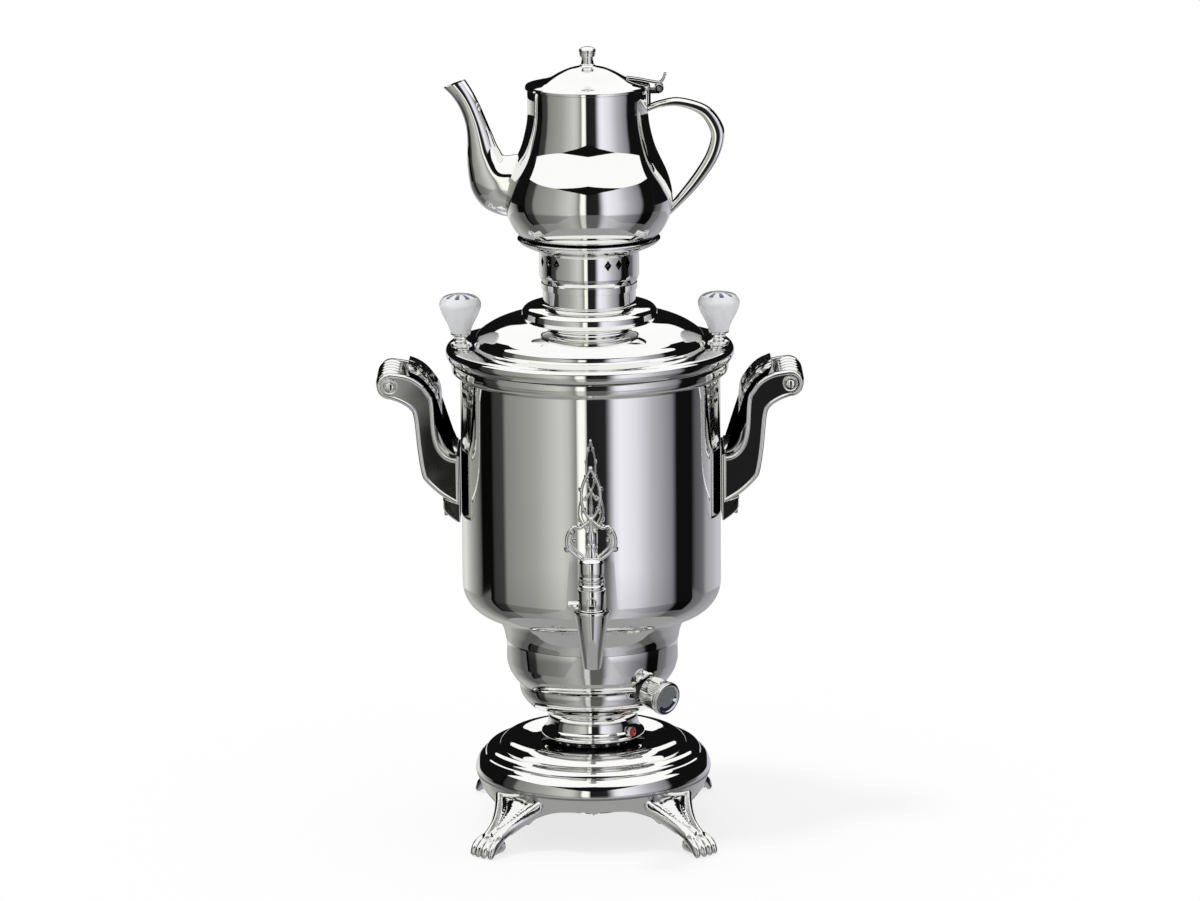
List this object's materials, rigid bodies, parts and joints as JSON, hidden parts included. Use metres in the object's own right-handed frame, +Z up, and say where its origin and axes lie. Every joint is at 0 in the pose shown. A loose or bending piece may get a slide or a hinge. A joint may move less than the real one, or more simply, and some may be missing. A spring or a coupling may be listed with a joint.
{
  "type": "electric samovar",
  "caption": "Electric samovar: a footed water urn with a tap, side handles and a lift-off lid, carrying a gallery and a hinged-lid teapot.",
  "frame": {"origin": "the point on the table straight under the tank's axis", "axes": "+Z up along the tank's axis, -Y towards the tap, +X to the right seen from the tap's side"},
  "size_m": [0.311, 0.2578, 0.5802],
  "materials": {
    "chromed_steel": "mirror polished",
    "plain_steel": "satin",
    "brass": "turned",
    "black_plastic": "moulded",
    "grey_paint": "stove enamel",
    "rubber": "moulded",
    "red_lens": "clear moulded",
    "porcelain": "white glaze"
  },
  "bodies": {
    "urn": {"tank": "chromed_steel", "top_rim": "chromed_steel", "lower_funnel": "chromed_steel", "lower_housing": "chromed_steel", "waist_ring": "chromed_steel", "base_dome": "chromed_steel", "base_skirt": "chromed_steel", "cover_plate": "grey_paint", "cover_plate_screws": "plain_steel", "foot_front_left": "chromed_steel", "foot_front_right": "chromed_steel", "foot_rear_left": "chromed_steel", "foot_rear_right": "chromed_steel", "foot_screws": "plain_steel", "tie_rod": "plain_steel", "tie_rod_nuts": "plain_steel", "heating_element": "plain_steel", "element_nuts": "brass", "thermal_cutout": "black_plastic", "thermostat_body": "black_plastic", "thermostat_socket": "black_plastic", "pilot_lamp": "red_lens", "power_inlet": "black_plastic", "handle_screws": "plain_steel", "tap_body": "chromed_steel", "tap_escutcheon": "chromed_steel", "tap_seal": "rubber", "tap_nut": "brass", "tap_gland": "chromed_steel", "tap_nozzle": "chromed_steel", "handle_left_cheeks": "chromed_steel", "handle_left_band": "chromed_steel", "handle_left_grip": "chromed_steel", "handle_left_rod": "chromed_steel", "handle_left_base": "chromed_steel", "handle_right_cheeks": "chromed_steel", "handle_right_band": "chromed_steel", "handle_right_grip": "chromed_steel", "handle_right_rod": "chromed_steel", "handle_right_base": "chromed_steel"},
    "tap_handle": {"tap_plug": "brass", "tap_key": "chromed_steel"},
    "dial": {"thermostat_spindle": "plain_steel", "thermostat_knob": "chromed_steel"},
    "lid": {"shoulder_lid": "chromed_steel", "lid_locating_ring": "plain_steel", "steam_neck": "chromed_steel", "lid_knob_stems": "chromed_steel", "lid_knob_left": "porcelain", "lid_knob_right": "porcelain", "lid_knob_screws": "plain_steel"},
    "crown": {"crown_collar": "chromed_steel", "gallery": "chromed_steel"},
    "pot": {"teapot_body": "chromed_steel", "teapot_spout": "chromed_steel", "teapot_handle": "chromed_steel", "hinge_bracket": "chromed_steel", "hinge_pin": "plain_steel"},
    "pot_lid": {"teapot_lid": "chromed_steel", "teapot_lid_knob": "chromed_steel"}
  },
  "joints": [
    {"name": "tap_turn", "type": "hinge", "parent": "urn", "child": "tap_handle", "pos_m": [0, -0.14, 0.206], "axis": [0, 0, 1], "range_deg": [0, 90]},
    {"name": "dial_turn", "type": "hinge", "parent": "urn", "child": "dial", "pos_m": [0.03662, -0.03927, 0.1137], "axis": [0.6736, -0.7223, -0.1564], "range_deg": [0, 270]},
    {"name": "lid_lift", "type": "slide", "parent": "urn", "child": "lid", "axis": [0, 0, 1], "range_m": [0, 0.12]},
    {"name": "crown_lift", "type": "slide", "parent": "lid", "child": "crown", "axis": [0, 0, 1], "range_m": [0, 0.1]},
    {"name": "pot_lift", "type": "slide", "parent": "crown", "child": "pot", "axis": [0, 0, 1], "range_m": [0, 0.15]},
    {"name": "pot_lid_hinge", "type": "hinge", "parent": "pot", "child": "pot_lid", "pos_m": [0.0515, 0, 0.55], "axis": [0, 1, 0], "range_deg": [0, 95]}
  ]
}
